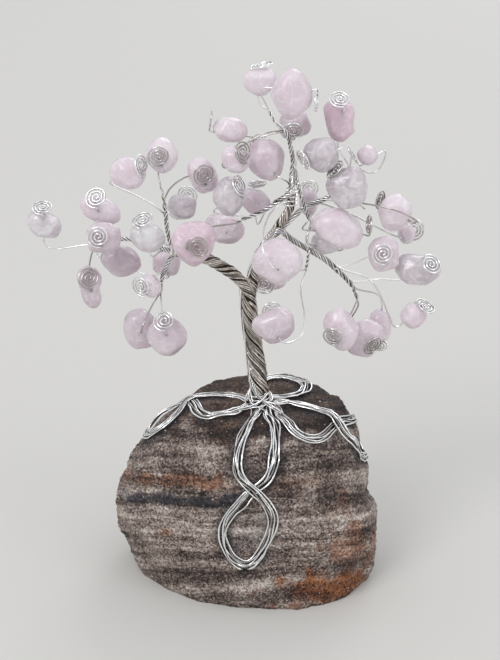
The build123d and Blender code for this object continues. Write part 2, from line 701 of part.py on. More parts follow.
# Branches and their chips
spiral_gaps = []
for name, (line_shares, chips) in branch_shares.items():
    wires = branch_wires(line_shares, chips)
    keep_bundle([make_tube(way + turns) for way, turns in wires], name)
    spiral_gaps.extend(least_gap(turns, math.pi * spiral_radius / 2) for _, turns in wires)
    for number, chip in enumerate(chips, 1):
        keep(make_chip(chip), name.replace("_branch", "") + f"_chip_{number}")
print("least gap of a spiral to itself", round(min(spiral_gaps), 3), "mm, in", len(spiral_gaps), "spirals")
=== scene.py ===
"""A wire gem tree on a rock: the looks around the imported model, in metres, +Z up, front to -Y."""

import json
import math
import random

import bmesh
import bpy
import numpy as np
from mathutils import Matrix, Vector, noise
from mathutils.bvhtree import BVHTree
from mathutils.kdtree import KDTree


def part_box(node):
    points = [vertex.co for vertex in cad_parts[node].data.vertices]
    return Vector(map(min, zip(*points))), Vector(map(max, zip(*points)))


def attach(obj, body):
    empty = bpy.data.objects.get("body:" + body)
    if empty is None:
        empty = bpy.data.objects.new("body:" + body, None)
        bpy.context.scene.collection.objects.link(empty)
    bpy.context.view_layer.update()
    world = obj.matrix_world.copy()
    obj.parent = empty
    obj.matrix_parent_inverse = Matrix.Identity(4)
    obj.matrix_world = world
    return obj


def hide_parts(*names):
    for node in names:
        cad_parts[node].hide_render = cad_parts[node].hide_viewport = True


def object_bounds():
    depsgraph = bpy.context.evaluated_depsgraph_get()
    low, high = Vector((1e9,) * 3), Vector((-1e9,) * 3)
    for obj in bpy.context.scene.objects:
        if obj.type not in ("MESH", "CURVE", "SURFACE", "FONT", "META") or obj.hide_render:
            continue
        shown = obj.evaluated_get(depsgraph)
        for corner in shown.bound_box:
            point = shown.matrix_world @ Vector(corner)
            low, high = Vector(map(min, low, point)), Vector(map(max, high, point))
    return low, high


MM = 0.001

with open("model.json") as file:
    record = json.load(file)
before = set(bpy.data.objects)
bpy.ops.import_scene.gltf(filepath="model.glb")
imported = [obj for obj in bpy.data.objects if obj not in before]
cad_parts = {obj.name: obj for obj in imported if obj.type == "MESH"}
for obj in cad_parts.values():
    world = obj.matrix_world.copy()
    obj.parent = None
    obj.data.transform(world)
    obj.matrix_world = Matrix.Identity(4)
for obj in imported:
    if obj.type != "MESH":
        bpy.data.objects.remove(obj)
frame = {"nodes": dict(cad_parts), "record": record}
cad_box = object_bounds()
bodies = frame["record"]["behaviour"]["bodies"]
body_of = {node: body for body, nodes in bodies.items() for node in nodes}
chips = [node for node in frame["nodes"] if "_chip_" in node]
roots = ["front_root", "left_root", "right_root", "back_root", "root_collar"]
branches = [node for node in frame["nodes"] if node.endswith("_branch") or node == "crown_leader"]


def new_object(name, data):
    """An object with this data, in the scene."""
    made = bpy.data.objects.new(name, data)
    bpy.context.scene.collection.objects.link(made)
    return made



# ---------------------------------------------------------------- the view

PHOTO_HEIGHT_PX = 660
FOCAL_PX = 1575
FILM_HEIGHT = 24
VIEW_DISTANCE = 420 * MM
VIEW_RISE = math.radians(22)
LOOKED_AT = Vector((1.5, 0, 70)) * MM

lens = bpy.data.cameras.new("view")
lens.sensor_fit = "VERTICAL"
lens.sensor_height = FILM_HEIGHT
lens.lens = FILM_HEIGHT * FOCAL_PX / PHOTO_HEIGHT_PX
lens.clip_start, lens.clip_end = 10 * MM, 20
camera = new_object("view", lens)
camera.location = LOOKED_AT + Vector((0, -math.cos(VIEW_RISE), math.sin(VIEW_RISE))) * VIEW_DISTANCE
camera.rotation_euler = (LOOKED_AT - camera.location).to_track_quat("-Z", "Y").to_euler()
bpy.context.scene.camera = camera
bpy.context.scene.view_settings.view_transform = "Standard"

# ---------------------------------------------------------------- materials


def linear(colour):
    """An sRGB hex colour as the linear values that a node takes."""
    parts = [int(colour[place:place + 2], 16) / 255 for place in (1, 3, 5)]
    return [c / 12.92 if c <= 0.04045 else ((c + 0.055) / 1.055) ** 2.4 for c in parts] + [1]


def add(tree, kind, inputs=None, stops=None, **settings):
    """Add a node. An input given as a socket is linked; any other value is set. Stops are a ramp's."""
    node = tree.nodes.new(kind)
    for name, value in settings.items():
        setattr(node, name, value)
    for name, value in (inputs or {}).items():
        if isinstance(value, bpy.types.NodeSocket):
            tree.links.new(value, node.inputs[name])
        else:
            node.inputs[name].default_value = value
    if stops:
        elements = node.color_ramp.elements
        elements[0].position, elements[1].position = stops[0][0], stops[-1][0]
        for place, _ in stops[1:-1]:
            elements.new(place)
        for element, (_, colour) in zip(elements, stops):
            element.color = linear(colour)
    return node


def new_material(name):
    """A material with nothing in it but its output, and its tree and object coordinates."""
    material = bpy.data.materials.new(name)
    material.use_nodes = True
    tree = material.node_tree
    tree.nodes.clear()
    coordinates = add(tree, "ShaderNodeTexCoord").outputs["Object"]
    return material, tree, coordinates


def finish_material(tree, inputs):
    shader = add(tree, "ShaderNodeBsdfPrincipled", inputs)
    add(tree, "ShaderNodeOutputMaterial", {"Surface": shader.outputs[0]})


# A colour mix node keeps its colour sockets at these places
MIX_FACTOR, MIX_A, MIX_B, MIX_RESULT = 0, 6, 7, 2


def per(size):
    """A texture scale for a pattern of this size."""
    return 1 / size


def quartz(name, paler, deeper, veil, clearness, milk, polish):
    """Tumbled, polished rose quartz: milky and faintly clouded, its healed cracks shown as veils."""
    material, tree, where = new_material(name)
    tint = add(tree, "ShaderNodeTexNoise", {"Vector": where, "Scale": per(16 * MM), "Detail": 1})
    cloud = add(tree, "ShaderNodeTexNoise", {
        "Vector": where, "Scale": per(3.2 * MM), "Detail": 4, "Roughness": 0.55, "Distortion": 1.4})
    depth = add(tree, "ShaderNodeMix", {
        MIX_FACTOR: 0.5, MIX_A: tint.outputs["Fac"], MIX_B: cloud.outputs["Fac"]}, data_type="RGBA")
    colour = add(tree, "ShaderNodeValToRGB", {"Fac": depth.outputs[MIX_RESULT]}, stops=[
        (0.34, deeper), (0.66, paler)])
    # Healed cracks run where a slow noise crosses its middle value
    crack = add(tree, "ShaderNodeTexNoise", {
        "Vector": where, "Scale": per(6.5 * MM), "Detail": 3, "Distortion": 0.8})
    away = add(tree, "ShaderNodeMath", {0: crack.outputs["Fac"], 1: 0.5}, operation="SUBTRACT")
    width = add(tree, "ShaderNodeMath", {0: away.outputs[0]}, operation="ABSOLUTE")
    line = add(tree, "ShaderNodeMapRange", {
        "Value": width.outputs[0], "From Min": 0.0, "From Max": 0.020, "To Min": 0.5, "To Max": 0.0})
    veiled = add(tree, "ShaderNodeMix", {
        MIX_FACTOR: line.outputs[0], MIX_A: colour.outputs[0], MIX_B: linear(veil)}, data_type="RGBA")
    rubbed = add(tree, "ShaderNodeMapRange", {
        "Value": cloud.outputs["Fac"], "From Min": 0.35, "From Max": 0.7,
        "To Min": polish, "To Max": polish + 0.2})
    pits = add(tree, "ShaderNodeTexNoise", {"Vector": where, "Scale": per(1.1 * MM), "Detail": 3})
    dents = add(tree, "ShaderNodeBump", {
        "Height": pits.outputs["Fac"], "Strength": 0.14, "Distance": 0.25 * MM})
    finish_material(tree, {
        "Base Color": veiled.outputs[MIX_RESULT], "Roughness": rubbed.outputs[0], "IOR": 1.544,
        "Transmission Weight": clearness, "Subsurface Weight": milk,
        "Subsurface Radius": (1.0, 0.86, 0.92), "Subsurface Scale": 2.4 * MM,
        "Normal": dents.outputs[0]})
    return material


def drawn_wire(name, bright, dull, groove_shade_and_tarnish, roughness):
    """Silvered craft wire, drawn smooth: bright where it is rubbed, with painted shade and some tarnish
    in the grooves.
    """
    material, tree, where = new_material(name)
    handled = add(tree, "ShaderNodeTexNoise", {"Vector": where, "Scale": per(7 * MM), "Detail": 2})
    tone = add(tree, "ShaderNodeAttribute", attribute_name="strand_tone")
    mixed = add(tree, "ShaderNodeMath", {0: handled.outputs["Fac"], 1: 0.7, 2: tone.outputs["Fac"]},
                operation="MULTIPLY_ADD")
    metal = add(tree, "ShaderNodeValToRGB", {"Fac": mixed.outputs[0]}, stops=[
        (0.42, dull), (1.0, bright)])
    # Painted shade: where wires crowd, the grooves are darkened towards the groove colour, as the shade
    # between the wires would fall, with some tarnish that lies there
    groove = add(tree, "ShaderNodeAttribute", attribute_name="groove")
    colour = add(tree, "ShaderNodeMix", {
        MIX_FACTOR: groove.outputs["Fac"], MIX_A: metal.outputs[0], MIX_B: linear(groove_shade_and_tarnish)},
        data_type="RGBA")
    satin = add(tree, "ShaderNodeMapRange", {
        "Value": groove.outputs["Fac"], "From Min": 0.0, "From Max": 1.0,
        "To Min": roughness, "To Max": 0.6})
    scratches = add(tree, "ShaderNodeTexNoise", {"Vector": where, "Scale": per(0.35 * MM), "Detail": 2})
    worn = add(tree, "ShaderNodeBump", {
        "Height": scratches.outputs["Fac"], "Strength": 0.10, "Distance": 0.03 * MM})
    finish_material(tree, {
        "Base Color": colour.outputs[MIX_RESULT], "Metallic": 1.0, "Roughness": satin.outputs[0],
        "Normal": worn.outputs[0]})
    return material


# The rock's layers dip to the front by the angle that makes them look level in the photograph
DIP = math.radians(22)


def banded_gneiss():
    """Rough gneiss: grains of pale feldspar, grey quartz and black mica, in thin wavy bands."""
    material, tree, where = new_material("banded_gneiss")
    # The bands dip to the front, rise a little to the right and wave
    wave = add(tree, "ShaderNodeTexNoise", {"Vector": where, "Scale": per(28 * MM), "Detail": 2})
    shift = add(tree, "ShaderNodeVectorMath", {
        0: wave.outputs["Color"], 1: (6 * MM, 6 * MM, 6 * MM)}, operation="MULTIPLY")
    bent = add(tree, "ShaderNodeVectorMath", {0: where, 1: shift.outputs[0]}, operation="ADD")
    layered = add(tree, "ShaderNodeMapping", {
        "Vector": bent.outputs[0], "Rotation": (-DIP, math.radians(-3), 0), "Scale": (16, 16, 1)},
        vector_type="TEXTURE")
    bands = add(tree, "ShaderNodeTexNoise", {
        "Vector": layered.outputs[0], "Scale": per(3.2 * MM), "Detail": 5, "Roughness": 0.62})
    clouds = add(tree, "ShaderNodeTexNoise", {"Vector": where, "Scale": per(8 * MM), "Detail": 3})
    # Grains under half a millimetre across, each of one mineral
    jitter = add(tree, "ShaderNodeTexNoise", {"Vector": where, "Scale": per(0.45 * MM), "Detail": 2})
    nudge = add(tree, "ShaderNodeVectorMath", {
        0: jitter.outputs["Color"], 1: (0.45 * MM, 0.45 * MM, 0.45 * MM)}, operation="MULTIPLY")
    ragged = add(tree, "ShaderNodeVectorMath", {0: where, 1: nudge.outputs[0]}, operation="ADD")
    cells = add(tree, "ShaderNodeTexVoronoi", {"Vector": ragged.outputs[0], "Scale": per(0.44 * MM)})
    grain = add(tree, "ShaderNodeSeparateColor", {"Color": cells.outputs["Color"]})
    layer = add(tree, "ShaderNodeMath", {0: bands.outputs["Fac"], 1: 1.35, 2: -0.175},
                operation="MULTIPLY_ADD")
    grained = add(tree, "ShaderNodeMath", {0: grain.outputs[0], 1: 0.36, 2: layer.outputs[0]},
                  operation="MULTIPLY_ADD")
    clouded = add(tree, "ShaderNodeMath", {0: clouds.outputs["Fac"], 1: 0.4, 2: grained.outputs[0]},
                  operation="MULTIPLY_ADD")
    shade = add(tree, "ShaderNodeMath", {0: clouded.outputs[0], 1: 0.38}, operation="SUBTRACT")
    colour = add(tree, "ShaderNodeValToRGB", {"Fac": shade.outputs[0]}, stops=[
        (0.24, "#241d1b"), (0.38, "#554741"), (0.50, "#807069"), (0.62, "#a2948b"), (0.80, "#d6ccc4")])
    surface = colour.outputs[0]
    # Laid over the fresh stone: weathering as soil on the top and rust where iron has bled, then dark
    # patches with painted shadow along the root wires
    for name, stops in (
            ("soil", [(0.30, "#1a110e"), (0.50, "#3f2d26"), (0.76, "#79614f")]),
            ("rust", [(0.30, "#2b160d"), (0.50, "#704024"), (0.76, "#ab734a")]),
            # Dark patches and the painted shadow along the root wires
            ("dark_patch_and_shadow", [(0.30, "#111116"), (0.55, "#2c2a31"), (0.80, "#625d66")])):
        share = add(tree, "ShaderNodeAttribute", attribute_name=name)
        tinted = add(tree, "ShaderNodeValToRGB", {"Fac": shade.outputs[0]}, stops=stops)
        surface = add(tree, "ShaderNodeMix", {
            MIX_FACTOR: share.outputs["Fac"], MIX_A: surface, MIX_B: tinted.outputs[0]},
            data_type="RGBA").outputs[MIX_RESULT]
    rough = add(tree, "ShaderNodeMapRange", {
        "Value": grain.outputs[1], "From Min": 0.0, "From Max": 1.0, "To Min": 0.62, "To Max": 0.95})
    height = add(tree, "ShaderNodeMath", {0: grain.outputs[2], 1: 0.6, 2: jitter.outputs["Fac"]},
                 operation="MULTIPLY_ADD")
    broken = add(tree, "ShaderNodeBump", {
        "Height": height.outputs[0], "Strength": 0.7, "Distance": 0.35 * MM})
    finish_material(tree, {
        "Base Color": surface, "Roughness": rough.outputs[0],
        "Normal": broken.outputs[0]})
    return material


def mica():
    """Mica flakes: split faces that catch the light, black to silvery."""
    material, tree, where = new_material("mica_flakes")
    tone = add(tree, "ShaderNodeTexNoise", {"Vector": where, "Scale": per(1.5 * MM), "Detail": 1})
    colour = add(tree, "ShaderNodeValToRGB", {"Fac": tone.outputs["Fac"]}, stops=[
        (0.38, "#1f1a18"), (0.52, "#6d6158"), (0.66, "#cfc7bd")])
    finish_material(tree, {
        "Base Color": colour.outputs[0], "Metallic": 0.3, "Roughness": 0.3})
    return material


# ---------------------------------------------------------------- small mesh tools


def baked(thing, name):
    """The thing with its modifiers, as a plain mesh object of this name; the thing is removed."""
    view = bpy.context.evaluated_depsgraph_get()
    mesh = bpy.data.meshes.new_from_object(thing.evaluated_get(view), depsgraph=view)
    mesh.name = name
    bpy.data.objects.remove(thing)
    return new_object(name, mesh)


def points_of(mesh):
    flat = np.empty(len(mesh.vertices) * 3, np.float32)
    mesh.vertices.foreach_get("co", flat)
    return flat.reshape(-1, 3).astype(float)


def merged_copy(node, name):
    """A CAD node's mesh copied, with its loose triangles joined."""
    shape = bmesh.new()
    shape.from_mesh(frame["nodes"][node].data)
    bmesh.ops.remove_doubles(shape, verts=shape.verts, dist=0.001 * MM)
    mesh = bpy.data.meshes.new(name)
    shape.to_mesh(mesh)
    shape.free()
    return new_object(name, mesh)


def neighbour_mean(points, edges):
    """Each point's mean of the points that an edge joins it to."""
    total, count = np.zeros_like(points), np.zeros(len(points))
    for one, other in ((0, 1), (1, 0)):
        np.add.at(total, edges[:, one], points[edges[:, other]])
        np.add.at(count, edges[:, one], 1)
    return total / count[:, None]


def edges_of(mesh):
    flat = np.empty(len(mesh.edges) * 2, np.int32)
    mesh.edges.foreach_get("vertices", flat)
    return flat.reshape(-1, 2)


def smoothed(points, edges, rounds, share=0.5):
    for _ in range(rounds):
        points = points + (neighbour_mean(points, edges) - points) * share
    return points


def lumps(points, size, octaves=3, seed=0.0):
    """Fractal noise at each point, for lumps of about this size."""
    offset = Vector((seed, seed * 1.7, seed * 2.3))
    return np.array([
        noise.fractal(Vector(point) / size + offset, 1.0, 2.0, octaves) for point in points])


def place_points(mesh, points):
    mesh.vertices.foreach_set("co", points.astype(np.float32).ravel())
    mesh.update()


def settle(piece, node, material):
    """Give a piece its material and slot, and let it ride on the node's body."""
    piece.data.materials.clear()
    piece.data.materials.append(material)
    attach(piece, body_of[node])


# ---------------------------------------------------------------- the wires

# A groove is where other wires fill the room this far off the skin, past the share that is open
GROOVE_REACH = 0.3 * MM
OPEN_SHARE = 0.22
GROOVE_STRENGTH = 1.4
# A copy of a node's wires keeps at most this many faces
THINNED = 110000
WIRE_END_ANGLE = math.radians(60)
# How far a root's wire strays and over what length, and what sets one wire's stray off from the next
WANDER = 0.75 * MM
WANDER_LENGTH = 6 * MM
WANDER_SEED = 5
NEXT_WIRE = Vector((5.0, 3.0, 7.0))
ROCK_HEART = np.array([0, 0, 20 * MM])


def normals_of(mesh):
    flat = np.empty(len(mesh.vertices) * 3, np.float32)
    mesh.vertices.foreach_get("normal", flat)
    return flat.reshape(-1, 3).astype(float)


def set_attribute(mesh, name, values):
    mesh.attributes.new(name, "FLOAT", "POINT").data.foreach_set("value", values.astype(np.float32))


def separate_wires(count, edges):
    """A number for each point, the same along a wire: each takes the lowest number it touches."""
    number = np.arange(count)
    while True:
        lowest = np.minimum(number[edges[:, 0]], number[edges[:, 1]])
        found = number.copy()
        np.minimum.at(found, edges[:, 0], lowest)
        np.minimum.at(found, edges[:, 1], lowest)
        found = found[found]
        if (found == number).all():
            return np.unique(number, return_inverse=True)[1]
        number = found


def crowding(points, normals):
    """How much of the room just off each point other wires fill, by cells laid eight ways."""
    off = points + normals * GROOVE_REACH
    filled = np.zeros(len(points))
    for shift in np.ndindex(2, 2, 2):
        keys = []
        for spots in (points, off):
            cells = np.floor(spots / GROOVE_REACH + np.array(shift) / 2).astype(np.int64) + 1024
            keys.append(cells @ np.array([1 << 22, 1 << 11, 1]))
        filled += np.isin(keys[1], keys[0])
    return filled / 8


def tone_wires(mesh):
    """Give each wire of a mesh its own tone."""
    wire = separate_wires(len(mesh.vertices), edges_of(mesh))
    tones = np.random.default_rng(wire.max()).uniform(0, 1, wire.max() + 1)
    set_attribute(mesh, "strand_tone", tones[wire])


def mark_grooves(mesh):
    """Mark where wires lie close together, for the painted shade and tarnish in their grooves, and
    shade them smooth.
    """
    points = points_of(mesh)
    depth = (crowding(points, normals_of(mesh)) - OPEN_SHARE) / (1 - OPEN_SHARE)
    set_attribute(mesh, "groove", np.clip(depth * GROOVE_STRENGTH, 0, 1))
    mesh.shade_smooth()


def wander(mesh):
    """Let each wire of a root ribbon stray a little from its neighbours, sideways and off the rock."""
    noise.seed_set(WANDER_SEED)
    points = points_of(mesh)
    wire = separate_wires(len(points), edges_of(mesh))
    outward = points - ROCK_HEART
    outward /= np.linalg.norm(outward, axis=1)[:, None]
    moved = points.copy()
    for index, point in enumerate(points):
        where = Vector(point) / WANDER_LENGTH + NEXT_WIRE * float(wire[index])
        stray = np.array(noise.noise_vector(where)) * WANDER
        lift = stray @ outward[index]
        moved[index] += stray + outward[index] * (abs(lift) - lift)
    place_points(mesh, np.clip(moved, *(np.array(corner) for corner in cad_box)))


def make_wires(node, material, loose=False):
    """The node's wires as a piece of their own, so that they can be marked."""
    wires = merged_copy(node, node + "_wires")
    if loose:
        wander(wires.data)
    tone_wires(wires.data)
    if len(wires.data.polygons) > THINNED:
        fewer = wires.modifiers.new("fewer", "DECIMATE")
        fewer.ratio = THINNED / len(wires.data.polygons)
    ends = wires.modifiers.new("ends", "EDGE_SPLIT")
    ends.split_angle = WIRE_END_ANGLE
    ends.use_edge_sharp = False
    wires = baked(wires, node + "_wires")
    mark_grooves(wires.data)
    settle(wires, node, material)
    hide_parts(node)


WIRE_RADIUS = 0.225 * MM
LAID_STEP = 0.35 * MM
WIRE_SIDES = 10
# A laid strand strays over this length. The offsets set strands, and their two ways to stray, apart
STRAY_LENGTH = 9 * MM
STRAND_OFFSET = 7.31
STRAY_OFFSETS = 0.0, 91.7
# Where a branch leaves a limb its wires run on down the limb: name, the node that it carries on,
# middle of the rope from the branch into the limb in millimetres, wires, ring at each end, turns
TAILS = [
    ("lower_right_tail", "lower_right_branch", [
        (10.9, -1.75, 97.4), (9.8, -1.98, 98.3), (8.8, -1.9, 98.6), (7.6, -1.7, 97.6),
        (6.5, -1.45, 95.8), (5.3, -1.1, 93.8), (4.3, -0.4, 92.0)], 6, 0.55, 0.45, 0.9),
    ("upper_right_tail", "upper_right_branch", [
        (15.3, 1.75, 103.2), (14.1, 1.32, 102.4), (12.8, 1.0, 101.2), (11.1, 0.9, 99.5),
        (9.5, 0.6, 97.8), (8.1, 0.2, 96.4)], 6, 0.55, 0.45, 0.9),
    ("middle_right_tail", "middle_right_branch", [
        (13.6, -1.25, 111.8), (13.45, -1.1, 112.9), (13.2, -0.9, 113.9), (12.8, -0.5, 115.0),
        (12.4, 0.0, 116.2)], 3, 0.28, 0.25, 0.6),
    ("inner_left_tail", "inner_left_branch", [
        (11.1, -2.05, 108.3), (11.9, -2.15, 109.1), (12.4, -1.8, 110.0), (12.5, -1.1, 111.2),
        (12.3, -0.2, 112.6)], 5, 0.45, 0.35, 0.7),
    ("hanging_tail", "hanging_branch", [
        (16.5, -1.7, 94.0), (16.4, -1.65, 94.9), (16.3, -1.4, 96.4), (16.7, -0.8, 97.8),
        (17.4, -0.2, 98.9)], 2, 0.23, 0.23, 0.8),
]
# One wire wound round each limb's end over the branches' starts: name, node, ends of the middle
# of the winding in millimetres, radius of its first and last turn, turns
BINDINGS = [
    ("right_binding", "right_limb", (11.75, 0.0, 104.6), (12.3, -0.15, 109.6), 1.66, 1.35, 4.5),
    ("left_binding", "left_limb", (-15.9, 0.0, 92.0), (-19.6, 0.0, 92.5), 1.86, 1.55, 3.5),
]
# The ropes: name, node, middle of the rope in millimetres with the share of its full ring at each
# point, strands, full ring, turns (a minus lays the strands down to the right in front), looseness
ROPES = [
    ("trunk_rope", "trunk", [
        (4.55, 0, 47.6, 1.06), (3.67, 0, 58.3, 1.0), (2.54, 0, 67.1, 0.97), (1.5, 0, 74.9, 0.92),
        (1.1, 0.1, 79.6, 0.86), (0.9, 0.3, 82.6, 0.62), (0.9, 0.4, 84.6, 0.35)], 24, 2.03, -1.9, 0.15),
    ("left_limb_rope", "left_limb", [
        (-18.6, 0, 92.4, 1.0), (-14.1, 0, 91.6, 1.0), (-9.04, 0, 89.7, 1.0), (-5.1, -0.1, 87.5, 1.0),
        (-1.7, -0.35, 84.9, 1.0), (0.5, -0.7, 82.1, 0.95), (1.8, -0.75, 78.9, 0.85),
        (2.3, -0.4, 75.4, 0.7)], 14, 1.31, -2.9, 0.14),
    ("right_limb_rope", "right_limb", [
        (12.26, 0, 108.1, 1.0), (11.9, 0, 104.4, 1.0), (10.2, 0, 101.1, 1.0), (7.9, 0, 97.6, 1.0),
        (5.1, 0.1, 93.6, 1.0), (3.1, 0.4, 89.3, 1.1), (2.4, 0.75, 85.2, 1.25),
        (2.1, 0.8, 81.5, 1.2), (1.9, 0.5, 77.5, 0.9)], 10, 0.94, -4.2, 0.14),
]
# Inside each rope a second layer of fewer strands fills what the outer one leaves open: how much
# smaller its ring is in millimetres, and its share of the outer turns
INNER_STEP = 0.42
INNER_TURNS = 0.8
# One wire wound loosely round the trunk's foot, given as a binding is
FOOT_WINDING = (4.45, 0, 49.6), (4.25, 0, 51.9), 3.2, 2.75, 2.2
WINDING_STEPS = 8
WINDING_SWAY, SWAY_PACE = 0.07, 0.37
# Slack strands outside the ropes, and the wires that tie the roots under the trunk's foot: as the
# tails are given
LOOSE_WIRES = [
    ("slack_strands", "trunk", [
        (-0.9, -0.5, 84.0), (-1.05, -0.8, 80.6), (-0.85, -0.7, 76.0), (-0.3, -0.8, 70.0),
        (0.45, -0.9, 64.0), (1.15, -0.8, 58.0), (1.75, -0.9, 52.6), (2.4, -2.4, 50.0)],
        2, 0.24, 0.24, 1.3),
    ("slack_limb_strand", "right_limb", [
        (0.3, 0.1, 83.6), (0.9, -0.5, 85.4), (1.4, -0.8, 87.6), (2.3, -0.9, 90.2),
        (3.6, -1.0, 92.6)], 2, 0.24, 0.24, 0.8),
    ("foot_tie_1", "root_collar", [
        (1.35, -0.2, 57.0), (2.0, -1.6, 54.6), (3.1, -2.8, 52.6), (4.8, -3.6, 51.1),
        (6.9, -3.3, 50.2), (9.2, -2.2, 49.4), (11.6, -0.6, 49.1)], 2, 0.25, 0.25, 0.5),
    ("foot_tie_2", "root_collar", [
        (1.6, 0.3, 53.2), (1.2, -1.1, 51.4), (1.8, -2.9, 50.1), (3.5, -4.3, 49.4),
        (5.4, -5.9, 49.1), (6.2, -8.4, 48.9)], 1, 0, 0, 0),
    ("foot_tie_3", "root_collar", [
        (2.4, -2.1, 54.6), (3.6, -3.1, 52.4), (5.4, -3.9, 50.7), (7.7, -5.0, 49.5),
        (9.9, -7.6, 49.1)], 2, 0.25, 0.25, -0.5),
    ("foot_tie_4", "root_collar", [
        (5.9, -2.7, 52.6), (4.7, -3.8, 51.2), (2.8, -4.3, 50.0), (0.9, -4.8, 49.4),
        (-1.6, -5.3, 49.0)], 2, 0.25, 0.25, 0.5),
    ("foot_tie_5", "root_collar", [
        (7.2, -1.7, 51.5), (6.7, -3.2, 50.5), (5.2, -4.5, 49.8), (3.9, -6.3, 49.3),
        (2.7, -8.8, 48.9)], 1, 0, 0, 0),
    ("foot_tie_6", "root_collar", [
        (1.5, 0.4, 52.6), (0.5, -1.2, 51.2), (0.3, -2.8, 50.0), (1.3, -4.2, 49.4),
        (3.2, -4.7, 49.5), (5.2, -4.4, 49.9)], 1, 0, 0, 0),
]


def laid_wires_tree(material):
    """Wires laid round a guide curve, in a ring that can narrow, as a node tree."""
    tree = bpy.data.node_groups.new("laid_wires", "GeometryNodeTree")
    sockets = {}
    for name, kind in (("Guide", "NodeSocketGeometry"), ("Wires", "NodeSocketInt"),
                       ("First Ring", "NodeSocketFloat"), ("Last Ring", "NodeSocketFloat"),
                       ("Turns", "NodeSocketFloat"), ("Wire Radius", "NodeSocketFloat"),
                       ("Looseness", "NodeSocketFloat")):
        sockets[name] = tree.interface.new_socket(name, in_out="INPUT", socket_type=kind).identifier
    tree.interface.new_socket("Laid Wires", in_out="OUTPUT", socket_type="NodeSocketGeometry")
    given = add(tree, "NodeGroupInput").outputs
    stepped = add(tree, "GeometryNodeResampleCurve", {
        "Curve": given["Guide"], "Length": LAID_STEP}, mode="LENGTH")
    copies = add(tree, "GeometryNodeDuplicateElements", {
        "Geometry": stepped.outputs[0], "Amount": given["Wires"]}, domain="SPLINE")
    share = add(tree, "ShaderNodeMath", {0: copies.outputs["Duplicate Index"], 1: given["Wires"]},
                operation="DIVIDE")
    spline = add(tree, "GeometryNodeSplineParameter").outputs
    along = spline["Factor"]
    turned = add(tree, "ShaderNodeMath", {0: along, 1: given["Turns"], 2: share.outputs[0]},
                 operation="MULTIPLY_ADD")
    ring = add(tree, "ShaderNodeMapRange", {
        "Value": along, "To Min": given["First Ring"], "To Max": given["Last Ring"]})
    # No strand keeps quite to its place: each strays along a slow noise of its own
    own = add(tree, "ShaderNodeMath", {0: copies.outputs["Duplicate Index"], 1: STRAND_OFFSET},
              operation="MULTIPLY")
    strays = []
    for offset in STRAY_OFFSETS:
        begun = add(tree, "ShaderNodeMath", {0: own.outputs[0], 1: offset}, operation="ADD")
        place = add(tree, "ShaderNodeMath", {
            0: spline["Length"], 1: per(STRAY_LENGTH), 2: begun.outputs[0]}, operation="MULTIPLY_ADD")
        stray = add(tree, "ShaderNodeTexNoise", {"W": place.outputs[0], "Scale": 1.0, "Detail": 1},
                    noise_dimensions="1D")
        strays.append(add(tree, "ShaderNodeMapRange", {
            "Value": stray.outputs["Fac"], "From Min": 0.2, "From Max": 0.8, "To Min": -1.0,
            "To Max": 1.0}, clamp=False).outputs[0])
    aside = add(tree, "ShaderNodeMath", {0: strays[0], 1: given["Looseness"]}, operation="MULTIPLY")
    spread = add(tree, "ShaderNodeMath", {0: strays[1], 1: given["Looseness"], 2: 1.0},
                 operation="MULTIPLY_ADD")
    angle = add(tree, "ShaderNodeMath", {
        0: turned.outputs[0], 1: 2 * math.pi, 2: aside.outputs[0]}, operation="MULTIPLY_ADD")
    # The guide's own radius says how far the ring is drawn in at each of its points
    drawn_in = add(tree, "ShaderNodeMath", {
        0: ring.outputs[0], 1: add(tree, "GeometryNodeInputRadius").outputs[0]}, operation="MULTIPLY")
    reach_out = add(tree, "ShaderNodeMath", {0: drawn_in.outputs[0], 1: spread.outputs[0]},
                    operation="MULTIPLY")
    normal = add(tree, "GeometryNodeInputNormal").outputs[0]
    across = add(tree, "ShaderNodeVectorMath", {
        0: add(tree, "GeometryNodeInputTangent").outputs[0], 1: normal}, operation="CROSS_PRODUCT")
    sides = []
    for direction, wave in ((normal, "COSINE"), (across.outputs[0], "SINE")):
        reach = add(tree, "ShaderNodeMath", {0: angle.outputs[0]}, operation=wave)
        length = add(tree, "ShaderNodeMath", {0: reach.outputs[0], 1: reach_out.outputs[0]},
                     operation="MULTIPLY")
        sides.append(add(tree, "ShaderNodeVectorMath", {0: direction, "Scale": length.outputs[0]},
                         operation="SCALE").outputs[0])
    offset = add(tree, "ShaderNodeVectorMath", {0: sides[0], 1: sides[1]}, operation="ADD")
    moved = add(tree, "GeometryNodeSetPosition", {
        "Geometry": copies.outputs[0], "Offset": offset.outputs[0]})
    laid = add(tree, "GeometryNodeSetCurveRadius", {"Curve": moved.outputs[0], "Radius": 1.0})
    section = add(tree, "GeometryNodeCurvePrimitiveCircle", {
        "Resolution": WIRE_SIDES, "Radius": given["Wire Radius"]})
    skin = add(tree, "GeometryNodeCurveToMesh", {
        "Curve": laid.outputs[0], "Profile Curve": section.outputs["Curve"], "Fill Caps": True})
    real = add(tree, "GeometryNodeRealizeInstances", {"Geometry": skin.outputs[0]})
    painted = add(tree, "GeometryNodeSetMaterial", {"Geometry": real.outputs[0], "Material": material})
    add(tree, "NodeGroupOutput", {0: painted.outputs[0]})
    return tree, sockets


